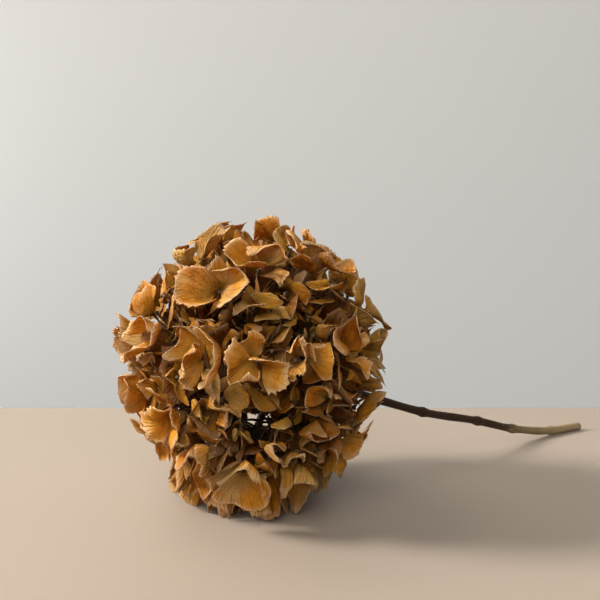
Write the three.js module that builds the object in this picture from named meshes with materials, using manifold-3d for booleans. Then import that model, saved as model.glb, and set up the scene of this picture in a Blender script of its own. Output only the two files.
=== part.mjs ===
// A dried mophead hydrangea lying on its side: a round head of four-sepalled florets on a woody stem.
// Millimetres, +Z up. The origin is on the surface below the head's centre.
// +X runs towards the stem's cut end.
// The stem ends in a candelabrum of rays, and each ray carries one spray: pedicels and florets, fused.
import * as THREE from "three";
import { mergeVertices } from "three/addons/utils/BufferGeometryUtils.js";
import Module from "manifold-3d";

const wasm = await Module();
wasm.setup();

// Head
const HEAD_RADIUS = 77; // to the sepal tips, across the stem's line
const HEAD_HALF_DEPTH = 69; // to the sepal tips, along the stem's line
const SLUMP = 0.05; // share of its radius that the head lacks towards the low side of its face
const HEAD_HEIGHT = 71; // of the head's centre above the surface, which presses the lowest sepals flat
const HEAD_TILT = radians(17); // of the head's face above the horizontal, and of the stem below it
const BARE_FROM = radians(145); // angle from the face's middle at which the florets stop, round the stem
const FLORETS = 119;
const GOLDEN_ANGLE = radians(137.508);
const SEED = 20731;

// Florets
const BLADE = 0.7; // thickness of a sepal
const SEPAL_LENGTH = 21.5;
const SEPAL_RISE = 15; // from a floret's middle out to the head's outline
const OUTLINE_EASE = 5; // depth over which a sepal's tip bends to follow the head's outline
const PROUD_REACH = 9; // how far the proud florets stand past it
const SPLAY = 6; // how far the lowest sepals spread past it on the surface
const NOTCH = 1.9; // from a floret's middle to the notch between two sepals
const BUD = 0.9; // height of the closed bud at a floret's middle
const SHOULDER = 0.78; // a sepal's reach at its shoulders, as a share of its length
const FLORET_CLEARANCE = 0.65; // half of the gap between neighbouring florets, to the middle of a blade
const SEPAL_CLEARANCE = 0.5; // the same between the sepals of one floret
const LAYERS = [1.5, -2, -5.5]; // florets stand proud or sunk by these, in turn, so that neighbours overlap
const BEND_ZONE = 4; // depth over which a sepal bends before it meets its neighbour
const OVERLAP_TILT = radians(58); // lean of the plane between an upper floret and a much lower neighbour
const OVERLAP_DEPTH = 3; // difference of depth that gives that lean
const PEDICEL_CLEARANCE = 3; // from a neighbour's pedicel to the sepals that pass under its floret
const NEIGHBOUR_REACH = 47; // florets further apart than this never meet
const REST_SEPAL = 18; // length of the sepals pressed flat below the head
const REST_MARGIN = 5; // round them, where other sepals still lie on top of them
const FLAT = 1e-6; // curl of a flat sepal, which the bend's radius divides by
const MARGIN_SIDES = [-1, -0.42, 0.42, 1]; // corners of a sepal's margin, as shares of its half angle
const INSIDE_REACH = 0.55; // of the point inside a sepal that holds its cup
const STRAIGHTENING_PASSES = 12;

// Branches
const RAY_RADIUS = 2.1;
const RAY_TIP_RADIUS = 1.3;
const PEDICEL_RADIUS = 0.9;
const SPRAY_REACH = 47; // of a spray's axis, from the head's centre
const SEAT_SHARE = 0.5; // where along a ray's line the stem's part ends and the spray begins
const SEAT_GAP = 0.3;
const SPRAY_SPREAD = radians(42); // from a spray's axis to a floret whose pedicel leaves it at its root
const FIRST_PEDICEL = 0.08; // foot of the first and the last pedicel, as shares of a spray's axis
const LAST_PEDICEL = 0.94;
const SMALLEST_EDGE = 0.05;

// Stem: its line as [x, height], from the cut end to its top inside the head
const STEM_LINE = [
  [268, 2.7],
  [239, 3.4],
  [199, 10],
  [166, 19.5],
  [119, 31],
  [89, 41],
  [52, 54.5],
  [20, 64.9],
];
const STEM_RADIUS = 2.7;
const STEM_TOP_RADIUS = 2.2;
const STEM_NODES = [239, 199, 166, 119]; // x of the leaf nodes
const NODE_SWELL = 0.75;
const NODE_HALF_LENGTH = 2.2;
const RING_STEP = 30;
const BUD_LENGTH = 3;
const BUD_RADIUS = 1.25;
const SUNK = 1.5; // length of a branch inside what carries it

const FACE = new THREE.Vector3(-Math.cos(HEAD_TILT), 0, Math.sin(HEAD_TILT));
const CROWN = new THREE.Vector3(Math.sin(HEAD_TILT), 0, Math.cos(HEAD_TILT));
const SIDE = new THREE.Vector3(0, 1, 0);
const CENTRE = new THREE.Vector3(0, 0, HEAD_HEIGHT);
const DOWN = new THREE.Vector3(0, 0, -1);
const LOW_SIDE = new THREE.Vector3(-0.68, 0.42, -0.6).normalize(); // of the face
const HOLLOW = new THREE.Vector3(-0.24, -0.95, -0.19); // toward the dark hollow where a floret is missing
const PROUD_FLORETS = [
  { toward: new THREE.Vector3(15, -9, 76), rise: 0 },
  { toward: new THREE.Vector3(60, -36, 12), rise: -3 },
  { toward: new THREE.Vector3(-58, 36, 18), rise: 1 },
];
const PROUD_LIFT = radians(48);

// The sprays stand in three tiers: angle from the face's middle, how many, the turn of the first,
// and how far along the stem's line, from the head's centre towards the face, their rays leave it.
const TIERS = [
  { angle: radians(0), count: 1, turn: 0, leaves: 6 },
  { angle: radians(58), count: 5, turn: radians(20), leaves: -5 },
  { angle: radians(110), count: 6, turn: radians(0), leaves: -19 },
];
const TIER_JITTER = radians(5);

const BROWN = new THREE.MeshStandardMaterial({ color: 0x4a3826, roughness: 0.8, metalness: 0 });
const GOLD = new THREE.MeshStandardMaterial({ color: 0xa8742e, roughness: 0.75, metalness: 0 });

function radians(degrees) {
  return (degrees * Math.PI) / 180;
}

// The same draws every run.
function makeRandom(seed) {
  let state = seed;
  return (low, high) => {
    state = (state * 48271) % 2147483647;
    return low + ((high - low) * state) / 2147483647;
  };
}

// A direction at an angle from the face's middle, turned round it from the crown.
function direction(angle, turn) {
  return new THREE.Vector3()
    .addScaledVector(FACE, Math.cos(angle))
    .addScaledVector(CROWN, Math.sin(angle) * Math.cos(turn))
    .addScaledVector(SIDE, Math.sin(angle) * Math.sin(turn));
}

// How far the head's outline lies from its centre in a direction.
function outlineReach(toward) {
  const along = toward.dot(FACE);
  const across = Math.sqrt(Math.max(0, 1 - along * along));
  const slump = SLUMP * Math.max(0, toward.dot(LOW_SIDE)) ** 2;
  return (1 - slump) / Math.hypot(along / HEAD_HALF_DEPTH, across / HEAD_RADIUS);
}

function makeSprays(random) {
  const sprays = [];
  for (const tier of TIERS) {
    for (let i = 0; i < tier.count; i++) {
      const angle = tier.angle + (tier.angle ? random(-TIER_JITTER, TIER_JITTER) : 0);
      const turn = tier.turn + (2 * Math.PI * i) / tier.count + random(-TIER_JITTER, TIER_JITTER);
      const toward = direction(angle, turn);
      const start = CENTRE.clone().addScaledVector(FACE, tier.leaves);
      const end = CENTRE.clone().addScaledVector(toward, SPRAY_REACH);
      const line = end.clone().sub(start);
      sprays.push({
        toward,
        start,
        end,
        line: line.clone().normalize(),
        seat: start.clone().addScaledVector(line, SEAT_SHARE),
        florets: [],
      });
    }
  }
  return sprays;
}

// Four sepals round a floret's middle, each drawn from the same ranges.
function makeSepals(random) {
  const openness = random(0, 1);
  const lift = radians(10 + 46 * openness);
  const sepals = [];
  for (let i = 0; i < 4; i++) {
    // Turns, lifts and curls are in radians; cup and wave are shares of the length.
    sepals.push({
      turn: (i * Math.PI) / 2 + random(-0.08, 0.08),
      length: SEPAL_LENGTH * random(0.84, 1.12),
      halfAngle: radians(random(39, 45)),
      lift: lift + random(-0.4, 0.5),
      curl: random(-1.2, 1.4),
      cup: random(-0.4, 1.2),
      wave: random(0.02, 0.08),
      phase: random(0, 2 * Math.PI),
    });
  }
  return sepals;
}

function makeFlorets(random) {
  const florets = [];
  for (let i = 0; i < FLORETS; i++) {
    const share = (i + 0.5) / FLORETS;
    const angle = Math.acos(1 - share * (1 - Math.cos(BARE_FROM))) + random(-0.05, 0.05);
    const turn = i * GOLDEN_ANGLE + random(-0.06, 0.06);
    const toward = direction(Math.abs(angle), turn);
    const depth = LAYERS[i % LAYERS.length] + random(-1, 1);
    const lean = random(0, 0.6);
    const leanTurn = random(0, 2 * Math.PI);
    const spin = random(0, 2 * Math.PI);
    florets.push({ toward, depth, lean, leanTurn, spin, proud: 0, sepals: makeSepals(random) });
  }
  for (const { toward, rise } of PROUD_FLORETS) {
    const floret = nearest(florets, toward);
    floret.toward = toward.clone().normalize();
    floret.depth = rise;
    floret.proud = PROUD_REACH;
    for (const sepal of floret.sepals) sepal.lift = PROUD_LIFT;
  }
  florets.splice(florets.indexOf(nearest(florets, HOLLOW)), 1);
  const lowest = nearest(florets, DOWN);
  lowest.toward = DOWN.clone();
  lowest.lean = 0;
  lowest.isRest = true;
  for (const floret of florets) placeFloret(floret);
  return florets;
}

// The member of a list whose direction lies nearest the one given.
function nearest(list, toward) {
  return list.reduce((best, item) => (item.toward.dot(toward) > best.toward.dot(toward) ? item : best));
}

function placeFloret(floret) {
  const reach = floret.isRest
    ? HEAD_HEIGHT - BLADE / 2
    : outlineReach(floret.toward) - SEPAL_RISE + floret.depth;
  floret.middle = CENTRE.clone().addScaledVector(floret.toward, reach);
  const [a, b] = acrossPair(floret.toward);
  floret.normal = floret.toward
    .clone()
    .multiplyScalar(Math.cos(floret.lean))
    .addScaledVector(a, Math.sin(floret.lean) * Math.cos(floret.leanTurn))
    .addScaledVector(b, Math.sin(floret.lean) * Math.sin(floret.leanTurn));
  if (!floret.isRest) return;
  for (const sepal of floret.sepals) {
    Object.assign(sepal, { length: REST_SEPAL, lift: 0, curl: FLAT, cup: 0, wave: 0 });
  }
}

// Two unit vectors square to a direction and to each other, so that a x b = direction.
function acrossPair(toward) {
  const helper = Math.abs(toward.z) < 0.9 ? new THREE.Vector3(0, 0, 1) : new THREE.Vector3(1, 0, 0);
  const a = helper.clone().cross(toward).normalize();
  return [a, toward.clone().cross(a)];
}

// The direction in a floret's plane at a turn about its normal.
function spoke(floret, turn) {
  const [a, b] = acrossPair(floret.normal);
  return a.multiplyScalar(Math.cos(floret.spin + turn)).addScaledVector(b, Math.sin(floret.spin + turn));
}

// A sepal's margin, as its distance from the floret's middle at an angle from the sepal's midline.
function sepalReach(sepal, angle) {
  const side = Math.abs(angle) / sepal.halfAngle;
  return sepal.length * (1 - (1 - SHOULDER) * Math.pow(side, 1.8));
}

// A point of a sepal: angle from its midline, reach from 0 at the middle to 1 at the margin.
// It is cupped across, waved at the margin, curled along its length, then lifted off the floret's plane.
function sepalPoint(floret, sepal, angle, reach) {
  const away = reach * sepalReach(sepal, angle);
  const across = away * Math.sin(angle);
  const along = away * Math.cos(angle);
  const rise =
    (sepal.cup * across * across) / sepal.length +
    sepal.wave * sepal.length * reach * reach * Math.sin((3 * angle) / sepal.halfAngle + sepal.phase);
  const bend = (sepal.curl * along) / sepal.length;
  const radius = sepal.length / sepal.curl;
  const out = radius * Math.sin(bend) - rise * Math.sin(bend);
  const up = radius * (1 - Math.cos(bend)) + rise * Math.cos(bend);
  const outward = spoke(floret, sepal.turn);
  return floret.middle
    .clone()
    .addScaledVector(spoke(floret, sepal.turn + Math.PI / 2), across)
    .addScaledVector(outward, out * Math.cos(sepal.lift) - up * Math.sin(sepal.lift))
    .addScaledVector(floret.normal, out * Math.sin(sepal.lift) + up * Math.cos(sepal.lift));
}

// The planes that hold a floret clear of its neighbours, as { normal, offset }, with the floret inside.
// A plane stands halfway between two florets and leans so that the upper one spreads over the lower one.
// The lower one's sepals also end short of the upper one's pedicel.
function planesRound(floret, florets) {
  const planes = [];
  for (const other of florets) {
    const apart = floret.middle.distanceTo(other.middle);
    if (other === floret || other.isRest || apart > NEIGHBOUR_REACH) continue;
    const outward = floret.toward.clone().add(other.toward).normalize();
    const across = other.toward.clone().sub(floret.toward);
    across.addScaledVector(outward, -across.dot(outward)).normalize();
    const nearFloor = THREE.MathUtils.smoothstep(-outward.z, 0.6, 0.95);
    const step = THREE.MathUtils.clamp((floret.depth - other.depth) / OVERLAP_DEPTH, -1, 1);
    const tilt = step * OVERLAP_TILT * (1 - nearFloor);
    const normal = across.clone().multiplyScalar(Math.cos(tilt));
    normal.addScaledVector(outward, -Math.sin(tilt));
    const half = floret.middle.clone().add(other.middle).multiplyScalar(0.5);
    planes.push({ normal, offset: half.dot(normal) - FLORET_CLEARANCE });
    if (step < 0) {
      planes.push({ normal: across, offset: other.middle.dot(across) - PEDICEL_CLEARANCE });
    }
  }
  return planes;
}

// The planes between a sepal and the two beside it.
function planesBeside(floret, index) {
  const { turn } = floret.sepals[index];
  return [-1, 1].map((side) => {
    const beside = floret.sepals[(index + side + 4) % 4].turn;
    const gap = Math.atan2(Math.sin(beside - turn), Math.cos(beside - turn));
    const normal = spoke(floret, turn + gap / 2 + (side * Math.PI) / 2);
    return { normal, offset: floret.middle.dot(normal) - SEPAL_CLEARANCE };
  });
}

// Bends a point of a blade back to the inner side of every plane and above the surface.
// First it is eased and slides along each plane, which keeps the blade's length.
// Then it is eased inside the head's outline, and what is still past a plane is pushed straight back.
function bendClear(point, heading, planes, proud) {
  for (const { normal, offset } of planes) {
    const past = point.dot(normal) - offset;
    if (past <= -BEND_ZONE) continue;
    const lost = past + BEND_ZONE * Math.exp(-(past + BEND_ZONE) / BEND_ZONE);
    const facing = heading.dot(normal);
    const slide = heading.clone().addScaledVector(normal, -facing);
    const sliding = slide.length();
    point.addScaledVector(normal, -lost);
    if (facing > 0.05 && sliding > 0.05) {
      point.addScaledVector(slide, (lost * (1 - sliding)) / (facing * sliding));
    }
  }
  easeInside(point, proud);
  for (let pass = 0; pass < STRAIGHTENING_PASSES; pass++) {
    for (const { normal, offset } of planes) {
      point.addScaledVector(normal, -Math.max(0, point.dot(normal) - offset));
    }
    point.z = Math.max(point.z, floorAt(point));
  }
  return point;
}

// Draws a point that would stand past the head's outline back towards it.
function easeInside(point, proud) {
  const out = point.clone().sub(CENTRE);
  const reach = out.length();
  const splay = SPLAY * THREE.MathUtils.smoothstep(-out.z / reach, 0.7, 0.95);
  const limit = outlineReach(out.normalize()) + proud + splay;
  const past = reach - limit + OUTLINE_EASE;
  if (past <= 0) return;
  point.copy(CENTRE).addScaledVector(out, limit - OUTLINE_EASE * Math.exp(-past / OUTLINE_EASE));
}

// The lowest height of a blade's middle: on the surface, or on top of the sepals pressed flat there.
function floorAt(point) {
  return Math.hypot(point.x, point.y) < REST_SEPAL + REST_MARGIN ? 2.5 * BLADE : BLADE / 2;
}

// A floret on its pedicel. From its middle run four notches and between them four lobes;
// a lobe has a shoulder and a tip corner on either side and one point inside, which holds its cup.
function floretSolids(floret, florets, foot) {
  const around = floret.isRest ? [] : planesRound(floret, florets);
  const points = [floret.middle.clone()];
  const notches = floret.sepals.map(({ turn }, i) => {
    const next = floret.sepals[(i + 1) % 4].turn + (i === 3 ? 2 * Math.PI : 0);
    const notch = floret.middle.clone().addScaledVector(spoke(floret, (turn + next) / 2), NOTCH);
    return points.push(notch) - 1;
  });
  const lobes = floret.sepals.map((sepal, i) => {
    const planes = [...around, ...planesBeside(floret, i)];
    const heading = spoke(floret, sepal.turn)
      .multiplyScalar(Math.cos(sepal.lift))
      .addScaledVector(floret.normal, Math.sin(sepal.lift));
    const keep = (side, reach) => {
      const point = sepalPoint(floret, sepal, side * sepal.halfAngle, reach);
      return points.push(floret.isRest ? point : bendClear(point, heading, planes, floret.proud)) - 1;
    };
    const margin = MARGIN_SIDES.map((side) => keep(side, 1));
    const rim = [notches[(i + 3) % 4], ...margin, notches[i]];
    return { rim, inside: keep(0, INSIDE_REACH) };
  });
  const middleFaces = notches.map((p, i) => [0, p, notches[(i + 1) % 4]]);
  const lobeFaces = lobes.map(({ rim, inside }) =>
    rim.map((p, k) => [inside, p, rim[(k + 1) % rim.length]]),
  );
  const bud = floret.isRest ? 0 : BUD;
  const positions = bothSides(points, [...middleFaces, ...lobeFaces.flat()], bud);
  const under = points.length;
  const solids = lobes.map(({ rim }, i) => {
    const index = lobeFaces[i].flatMap(([p, q, r]) => [p, q, r, under + p, under + r, under + q]);
    rim.forEach((p, k) => index.push(...wall(p, rim[(k + 1) % rim.length], under)));
    return solidOf(indexed(positions, index));
  });
  solids.push(middleSolid(floret, foot, positions, notches, under));
  return solids;
}

// The middle of a floret, with its bud above and its pedicel below, down to the foot.
function middleSolid(floret, foot, positions, notches, under) {
  const corners = [...positions];
  const line = foot.clone().sub(floret.middle).normalize();
  for (const notch of notches) {
    const out = new THREE.Vector3().fromArray(positions, 3 * notch).sub(floret.middle);
    out.addScaledVector(line, -out.dot(line)).setLength(PEDICEL_RADIUS).add(foot);
    corners.push(out.x, out.y, out.z);
  }
  const end = 2 * under;
  const index = [end, end + 3, end + 2, end, end + 2, end + 1];
  notches.forEach((p, i) => {
    const q = notches[(i + 1) % 4];
    const below = end + i;
    const belowNext = end + ((i + 1) % 4);
    // This wall is the back of a lobe's last one, so it has the same diagonal.
    index.push(0, p, q, p, under + p, under + q, p, under + q, q);
    index.push(below, belowNext, under + q, below, under + q, under + p);
  });
  return solidOf(indexed(corners, index));
}

// Two triangles down an edge of a sheet, from its upper side to the side below.
function wall(p, q, under) {
  return [q, p, under + p, q, under + p, under + q];
}

// The points of a sheet moved half a blade's thickness to either side, and the first up to the bud too.
function bothSides(points, faces, bud) {
  const normals = points.map(() => new THREE.Vector3());
  for (const [p, q, r] of faces) {
    const normal = points[q].clone().sub(points[p]).cross(points[r].clone().sub(points[p]));
    for (const i of [p, q, r]) normals[i].add(normal);
  }
  const upper = points.map((point, i) =>
    point.clone().addScaledVector(normals[i].normalize(), BLADE / 2 + (i === 0 ? bud : 0)),
  );
  const lower = points.map((point, i) => point.clone().addScaledVector(normals[i], -BLADE / 2));
  return [...upper, ...lower].flatMap((point) => point.toArray());
}

function indexed(positions, index) {
  const geometry = new THREE.BufferGeometry();
  geometry.setAttribute("position", new THREE.Float32BufferAttribute(positions, 3));
  geometry.setIndex(index);
  return geometry;
}

// A straight branch between two points, with flat ends.
function branchGeometry(from, to, startRadius, endRadius, sides) {
  const line = to.clone().sub(from);
  const geometry = new THREE.CylinderGeometry(endRadius, startRadius, line.length(), sides);
  geometry.translate(0, line.length() / 2, 0);
  const turn = new THREE.Quaternion().setFromUnitVectors(new THREE.Vector3(0, 1, 0), line.normalize());
  geometry.applyQuaternion(turn);
  geometry.translate(from.x, from.y, from.z);
  return geometry;
}

function solidOf(geometry) {
  const plain = geometry.clone();
  plain.deleteAttribute("normal");
  plain.deleteAttribute("uv");
  const merged = mergeVertices(plain, 1e-4);
  return new wasm.Manifold(
    new wasm.Mesh({
      numProp: 3,
      vertProperties: merged.attributes.position.array,
      triVerts: new Uint32Array(merged.index.array),
    }),
  );
}

function meshOf(name, solid, material) {
  const { vertProperties, triVerts, numProp } = solid.getMesh();
  const positions = new Float32Array((vertProperties.length / numProp) * 3);
  for (let i = 0; i < positions.length / 3; i++) {
    positions.set(vertProperties.subarray(i * numProp, i * numProp + 3), i * 3);
  }
  const geometry = new THREE.BufferGeometry();
  geometry.setAttribute("position", new THREE.BufferAttribute(positions, 3));
  geometry.setIndex(new THREE.BufferAttribute(triVerts, 1));
  geometry.computeVertexNormals();
  const mesh = new THREE.Mesh(geometry, material);
  mesh.name = name;
  return mesh;
}

// A spray: the outer part of its ray, and the florets on their pedicels.
function makeSpray(spray, florets) {
  const root = spray.seat.clone().addScaledVector(spray.line, SEAT_GAP);
  const solids = [solidOf(branchGeometry(root, spray.end, RAY_RADIUS, RAY_TIP_RADIUS, 5))];
  const length = spray.end.distanceTo(root);
  for (const floret of spray.florets) {
    const aside = floret.toward.angleTo(spray.toward);
    const share = THREE.MathUtils.clamp(1 - aside / SPRAY_SPREAD, FIRST_PEDICEL, LAST_PEDICEL);
    const foot = root.clone().addScaledVector(spray.line, share * length);
    solids.push(...floretSolids(floret, florets, foot));
  }
  return wasm.Manifold.union(solids).simplify(SMALLEST_EDGE);
}

// The woody stem: a turned profile with its nodes, bent along the stem's line.
function stemGeometry(line) {
  const length = line.getLength();
  const nodesAt = STEM_NODES.map((x) => nearestShare(line, x) * length);
  const cuts = new Set([0, length]);
  for (let s = 0; s < length; s += RING_STEP) cuts.add(s);
  for (const at of nodesAt) {
    for (const k of [-1, -0.4, 0.4, 1]) cuts.add(at + k * NODE_HALF_LENGTH);
  }
  const profile = [new THREE.Vector2(0, 0)];
  for (const s of [...cuts].sort((p, q) => p - q)) {
    const swell = Math.max(0, ...nodesAt.map((at) => 1 - Math.pow((s - at) / NODE_HALF_LENGTH, 2)));
    const radius = THREE.MathUtils.lerp(STEM_RADIUS, STEM_TOP_RADIUS, s / length) + NODE_SWELL * swell;
    profile.push(new THREE.Vector2(radius, s));
  }
  profile.push(new THREE.Vector2(0, length));
  const geometry = new THREE.LatheGeometry(profile, 8);
  const position = geometry.attributes.position;
  for (let i = 0; i < position.count; i++) {
    const share = THREE.MathUtils.clamp(position.getY(i) / length, 0, 1);
    const at = line.getPointAt(share);
    const along = line.getTangentAt(share);
    const across = along.clone().cross(SIDE);
    at.addScaledVector(across, position.getX(i)).addScaledVector(SIDE, position.getZ(i));
    position.setXYZ(i, at.x, at.y, Math.max(at.z, 0));
  }
  return geometry;
}

// The share of a line's length at which it passes x.
function nearestShare(line, x) {
  let low = 0;
  let high = 1;
  for (let i = 0; i < 30; i++) {
    const middle = (low + high) / 2;
    if (line.getPointAt(middle).x > x) low = middle;
    else high = middle;
  }
  return low;
}

function makeStem(sprays) {
  const line = new THREE.CatmullRomCurve3(STEM_LINE.map(([x, z]) => new THREE.Vector3(x, 0, z)));
  const solids = [solidOf(stemGeometry(line))];
  STEM_NODES.forEach((x, i) => {
    const share = nearestShare(line, x);
    const at = line.getPointAt(share);
    const along = line.getTangentAt(share);
    const up = SIDE.clone().cross(along);
    const outward = i % 2 ? up : SIDE;
    for (const side of [1, -1]) {
      const lean = outward.clone().multiplyScalar(side).addScaledVector(along, 0.8).normalize();
      const foot = at.clone().addScaledVector(outward, side * STEM_TOP_RADIUS * 0.6);
      const tip = foot.clone().addScaledVector(lean, BUD_LENGTH);
      solids.push(solidOf(branchGeometry(foot, tip, BUD_RADIUS, BUD_RADIUS * 0.25, 5)));
    }
  });
  const top = line.getPointAt(1);
  const crown = CENTRE.clone().addScaledVector(FACE, TIERS[0].leaves);
  const sunk = top.clone().addScaledVector(line.getTangentAt(1), -SUNK);
  solids.push(solidOf(branchGeometry(sunk, crown, STEM_TOP_RADIUS, RAY_RADIUS, 8)));
  for (const spray of sprays) {
    const root = spray.start.clone().addScaledVector(spray.line, -SUNK / 2);
    solids.push(solidOf(branchGeometry(root, spray.seat, RAY_RADIUS, RAY_RADIUS, 5)));
  }
  return wasm.Manifold.union(solids).simplify(SMALLEST_EDGE);
}

const random = makeRandom(SEED);
const sprays = makeSprays(random);
const florets = makeFlorets(random);
for (const floret of florets) nearest(sprays, floret.toward).florets.push(floret);

const hydrangea = new THREE.Group();
hydrangea.add(meshOf("stem", makeStem(sprays), BROWN));
sprays.forEach((spray, i) => {
  const name = "spray_" + String(i + 1).padStart(2, "0");
  hydrangea.add(meshOf(name, makeSpray(spray, florets), GOLD));
});

export default hydrangea;
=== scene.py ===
# A dried mophead hydrangea lying on its side, dressed with its fine sepals, stalks and bark.
# The rule that places the sprays and florets is the part's own, so each piece lies on its solid.
# Shapes are worked out in millimetres and made into meshes in metres, +Z up. Turns are in radians.
import math
from types import SimpleNamespace

import bmesh
import bpy
import numpy as np
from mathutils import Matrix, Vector


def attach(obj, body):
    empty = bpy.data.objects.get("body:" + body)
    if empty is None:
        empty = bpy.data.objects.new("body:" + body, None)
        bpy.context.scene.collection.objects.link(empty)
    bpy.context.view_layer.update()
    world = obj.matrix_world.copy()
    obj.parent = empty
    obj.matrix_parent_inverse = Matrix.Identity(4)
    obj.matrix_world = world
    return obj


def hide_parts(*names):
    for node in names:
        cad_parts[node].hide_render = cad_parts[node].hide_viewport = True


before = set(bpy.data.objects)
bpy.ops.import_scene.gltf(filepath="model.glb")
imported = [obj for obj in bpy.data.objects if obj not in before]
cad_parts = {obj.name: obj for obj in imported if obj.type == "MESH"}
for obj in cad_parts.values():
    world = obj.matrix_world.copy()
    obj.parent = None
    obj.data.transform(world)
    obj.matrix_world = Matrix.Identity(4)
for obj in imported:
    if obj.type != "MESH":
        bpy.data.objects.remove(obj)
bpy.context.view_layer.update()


def unit(vector):
    """A vector of length 1 in the same direction."""
    vector = np.asarray(vector, float)
    return vector / np.linalg.norm(vector)


MM = 0.001
UP = np.array([0.0, 0.0, 1.0])
FULL_TURN = 2 * math.pi

# Random draws: each one is the last one times the factor, below the modulus
DRAW_FACTOR = 48271
DRAW_MODULUS = 2147483647
SEED = 20731  # of the part's own rule
DETAIL_SEED = 4409
WAVE_SEED = 977

# Head, as in the part
HEAD_RADIUS = 77  # to the sepal tips, across the stem's line
HEAD_HALF_DEPTH = 69  # and along it
HEAD_HEIGHT = 71  # of its centre above the surface
HEAD_TILT = math.radians(17)  # of its face above the horizontal
SLUMP = 0.05  # share of its radius that the head lacks towards the low side of its face
OUTLINE_EASE = 5  # depth over which a sepal's tip bends to follow the outline
SPLAY = 6  # how far the lowest sepals spread past the outline on the surface
SPLAY_RANGE = (0.7, 0.95)  # how steeply down a point lies where that starts, and where it is full
CENTRE = np.array([0.0, 0.0, HEAD_HEIGHT])
FACE = np.array([-math.cos(HEAD_TILT), 0, math.sin(HEAD_TILT)])
CROWN = np.array([math.sin(HEAD_TILT), 0, math.cos(HEAD_TILT)])
SIDE = np.array([0.0, 1.0, 0.0])
LOW_SIDE = unit([-0.68, 0.42, -0.6])
HOLLOW = np.array([-0.24, -0.95, -0.19])  # toward the dark hollow where a floret is missing

# Sprays, as in the part: rings round the face's middle, whose rays leave the stem's line ever lower
TIERS = [
    SimpleNamespace(angle=0.0, count=1, turn=0.0, leaves=6),
    SimpleNamespace(angle=math.radians(58), count=5, turn=math.radians(20), leaves=-5),
    SimpleNamespace(angle=math.radians(110), count=6, turn=0.0, leaves=-19),
]
TIER_JITTER = math.radians(5)
SPRAY_REACH = 47
SEAT_SHARE = 0.5  # where along a ray the stem's part ends and the spray begins
SEAT_GAP = 0.3

# Florets, as in the part
FLORETS = 119
GOLDEN_ANGLE = math.radians(137.508)
BARE_FROM = math.radians(145)  # angle from the face's middle at which they stop, round the stem
ANGLE_JITTER = 0.05
TURN_JITTER = 0.06
LAYERS = [1.5, -2, -5.5]  # they stand proud or sunk by these, in turn, so that neighbours overlap
LAYER_JITTER = 1
MOST_LEAN = 0.6
PROUD_FLORETS = [((15, -9, 76), 0), ((60, -36, 12), -3), ((-58, 36, 18), 1)]
PROUD_REACH = 9
PROUD_LIFT = math.radians(48)
OVERLAP_TILT = math.radians(58)  # lean of the plane between an upper floret and a much lower one
OVERLAP_DEPTH = 3  # difference of depth that gives that lean
UPRIGHT_RANGE = (0.6, 0.95)  # how steeply down two florets lie where it turns upright
PEDICEL_CLEARANCE = 3
NEIGHBOUR_REACH = 47  # florets further apart than this never meet

# Sepals, as in the part
SEPAL_LENGTH = 21.5
SEPAL_RISE = 15  # from a floret's middle out to the head's outline
SEPAL_TURN_JITTER = 0.08
LENGTH_SHARES = (0.84, 1.12)
HALF_ANGLES = (39, 45)  # in degrees
CLOSED_LIFT = 10  # of the flattest floret's sepals above its plane, in degrees
OPEN_LIFT = 46  # how much more the most raised ones have
LIFT_JITTER = (-0.4, 0.5)
CURLS = (-1.2, 1.4)
CUPS = (-0.4, 1.2)
WAVE_SHARES = (0.02, 0.08)
BLADE = 0.7  # thickness of the part's sepals, which the pressed ones are laid out for
REST_SEPAL = 18  # length of the sepals pressed flat below the head
REST_MARGIN = 5  # round them, where other sepals still lie on top of them
REST_CURL = 0.02
REST_PLEAT = 0.05
STACKED = 2.5  # height of those other sepals' underside, in blades

# Fine sepals
SHEET = 0.24  # thickness of a dried sepal
ROWS = 8  # of faces along a sepal
COLUMNS = 32  # and across it
CLAW = 0.07  # where a sepal starts, as a share of its reach
CLAW_WIDTH = 0.7  # of the claw, as a share of the blade's angle
CLAW_GAIN = 0.3  # what the angle gains up to the blade
BLADE_FROM = 0.6  # where the blade has its whole angle
ROW_EASE = 1.3  # rows close up towards the margin
WIDEN = 1.46  # fine sepals overlap, so they open wider than the part's
STRETCH = 1.24  # and reach further, to curl up where they meet
POINTED = 0.34  # of the most pointed tip: what the outline falls from it to the sides
FLANK_POWER = 7  # how suddenly the sides draw in
SPOON_TIP = 0.5  # how far a spoon-shaped sepal's tip lifts, as a share of its hollow
CREASE_ROUND = 3  # roundness of the crease along the midline, in square millimetres
BROAD_WAVES = 3
RIM_FROM = 0.72  # where the margin starts to roll
RIM_WIDTH = 0.28
ROLL_WAVES = 2.2
ROLL_SHIFT = 3
PLEATS = 9
TEETH_FROM = 0.93  # where the teeth of the margin start
TEETH_WIDTH = 0.07
SHORTEST = 0.8  # share of its length that a sepal keeps where it would pass the head's outline
PROUD_SHORTEST = 0.62  # the same for the proud florets
SHORTENING = 0.95  # its share after each try
MARGIN_TRIES = np.linspace(-0.8, 0.8, 5)  # places across its margin that are tried
OVERSHOOT = 3.5  # how far it may stand past the outline

# What keeps fine sepals clear of each other
FLORET_CLEARANCE = 0.35
SEPAL_CLEARANCE = 0.25
PAIR_TILT = math.radians(60)  # lean of the plane between an upper and a lower sepal of one floret
GAP_TILT = math.radians(40)  # lean of the plane between a gap floret and its neighbour
BEND_ZONE = 4.5  # depth over which a sepal bends before it meets its neighbour
SLIDES_FROM = 0.05  # least share of its heading across a plane, and along it, for it to slide there
STRAIGHTENING_PASSES = 7
SOFTENING_PASSES = 2
SOFTENING = 0.5

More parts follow.
